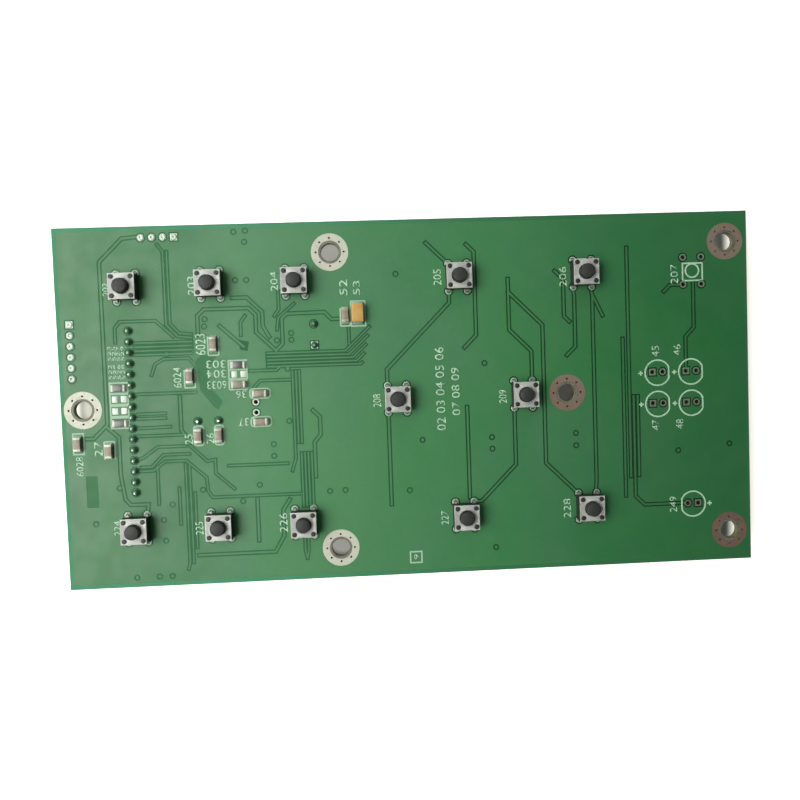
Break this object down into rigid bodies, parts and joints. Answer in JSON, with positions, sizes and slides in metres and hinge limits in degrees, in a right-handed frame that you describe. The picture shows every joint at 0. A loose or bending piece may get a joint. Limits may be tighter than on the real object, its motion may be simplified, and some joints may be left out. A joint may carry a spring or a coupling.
{
  "type": "printer control panel board",
  "caption": "Long green circuit board with round push switches, tinned bolt holes, small soldered parts and empty lamp places.",
  "frame": {"origin": "middle of the four-bolt rectangle, on the underside of the board", "axes": "+X along the long side, towards the lamp places; +Y across the board; +Z out of the switch side"},
  "size_m": [0.165, 0.085, 0.0152],
  "materials": {
    "green_solder_mask": "satin green mask over copper and glass-epoxy laminate",
    "tinned_copper": "dull tin plate",
    "solder": "bright solder",
    "white_print": "thin matt ink",
    "plated_steel": "plated sheet and drawn metal",
    "spring_steel": "spring sheet",
    "brown_ceramic": "unglazed ceramic",
    "dark_glaze": "glazed ceramic",
    "amber_resin": "moulded resin",
    "black_plastic": "moulded plastic",
    "gold_plate": "flash plated",
    "black_resin": "moulded resin",
    "switch_plastic": "moulded plastic",
    "switch_cover_steel": "rolled sheet",
    "plunger_plastic": "moulded plastic"
  },
  "bodies": {
    "panel": {"board": "green_solder_mask", "hole_rings": "tinned_copper", "plated_holes": "tinned_copper", "switch_solder": "solder", "header_solder": "solder", "print": "white_print", "switch_legs": "plated_steel", "snap_domes": "spring_steel", "ceramic_capacitors": "brown_ceramic", "capacitor_ends": "tinned_copper", "resistors": "dark_glaze", "resistor_ends": "tinned_copper", "smd_solder": "solder", "tantalum_capacitor": "amber_resin", "tantalum_ends": "tinned_copper", "header_strip": "black_plastic", "header_pins": "gold_plate", "crystal_can": "plated_steel", "crystal_base": "plated_steel", "buzzer": "black_plastic", "buzzer_pins": "tinned_copper", "controller_chip": "black_resin", "chip_leads": "tinned_copper", "switch_base_01": "switch_plastic", "switch_cover_01": "switch_cover_steel", "switch_base_02": "switch_plastic", "switch_cover_02": "switch_cover_steel", "switch_base_03": "switch_plastic", "switch_cover_03": "switch_cover_steel", "switch_base_04": "switch_plastic", "switch_cover_04": "switch_cover_steel", "switch_base_05": "switch_plastic", "switch_cover_05": "switch_cover_steel", "switch_base_06": "switch_plastic", "switch_cover_06": "switch_cover_steel", "switch_base_07": "switch_plastic", "switch_cover_07": "switch_cover_steel", "switch_base_08": "switch_plastic", "switch_cover_08": "switch_cover_steel", "switch_base_09": "switch_plastic", "switch_cover_09": "switch_cover_steel", "switch_base_10": "switch_plastic", "switch_cover_10": "switch_cover_steel", "switch_base_11": "switch_plastic", "switch_cover_11": "switch_cover_steel", "switch_base_12": "switch_plastic", "switch_cover_12": "switch_cover_steel"},
    "key_01": {"plunger_01": "plunger_plastic"},
    "key_02": {"plunger_02": "plunger_plastic"},
    "key_03": {"plunger_03": "plunger_plastic"},
    "key_04": {"plunger_04": "plunger_plastic"},
    "key_05": {"plunger_05": "plunger_plastic"},
    "key_06": {"plunger_06": "plunger_plastic"},
    "key_07": {"plunger_07": "plunger_plastic"},
    "key_08": {"plunger_08": "plunger_plastic"},
    "key_09": {"plunger_09": "plunger_plastic"},
    "key_10": {"plunger_10": "plunger_plastic"},
    "key_11": {"plunger_11": "plunger_plastic"},
    "key_12": {"plunger_12": "plunger_plastic"}
  },
  "joints": [
    {"name": "press_01", "type": "slide", "parent": "panel", "child": "key_01", "axis": [0, 0, -1], "range_m": [0, 0.00025], "stiffness_N_per_m": 6400},
    {"name": "press_02", "type": "slide", "parent": "panel", "child": "key_02", "axis": [0, 0, -1], "range_m": [0, 0.00025], "stiffness_N_per_m": 6400},
    {"name": "press_03", "type": "slide", "parent": "panel", "child": "key_03", "axis": [0, 0, -1], "range_m": [0, 0.00025], "stiffness_N_per_m": 6400},
    {"name": "press_04", "type": "slide", "parent": "panel", "child": "key_04", "axis": [0, 0, -1], "range_m": [0, 0.00025], "stiffness_N_per_m": 6400},
    {"name": "press_05", "type": "slide", "parent": "panel", "child": "key_05", "axis": [0, 0, -1], "range_m": [0, 0.00025], "stiffness_N_per_m": 6400},
    {"name": "press_06", "type": "slide", "parent": "panel", "child": "key_06", "axis": [0, 0, -1], "range_m": [0, 0.00025], "stiffness_N_per_m": 6400},
    {"name": "press_07", "type": "slide", "parent": "panel", "child": "key_07", "axis": [0, 0, -1], "range_m": [0, 0.00025], "stiffness_N_per_m": 6400},
    {"name": "press_08", "type": "slide", "parent": "panel", "child": "key_08", "axis": [0, 0, -1], "range_m": [0, 0.00025], "stiffness_N_per_m": 6400},
    {"name": "press_09", "type": "slide", "parent": "panel", "child": "key_09", "axis": [0, 0, -1], "range_m": [0, 0.00025], "stiffness_N_per_m": 6400},
    {"name": "press_10", "type": "slide", "parent": "panel", "child": "key_10", "axis": [0, 0, -1], "range_m": [0, 0.00025], "stiffness_N_per_m": 6400},
    {"name": "press_11", "type": "slide", "parent": "panel", "child": "key_11", "axis": [0, 0, -1], "range_m": [0, 0.00025], "stiffness_N_per_m": 6400},
    {"name": "press_12", "type": "slide", "parent": "panel", "child": "key_12", "axis": [0, 0, -1], "range_m": [0, 0.00025], "stiffness_N_per_m": 6400}
  ]
}
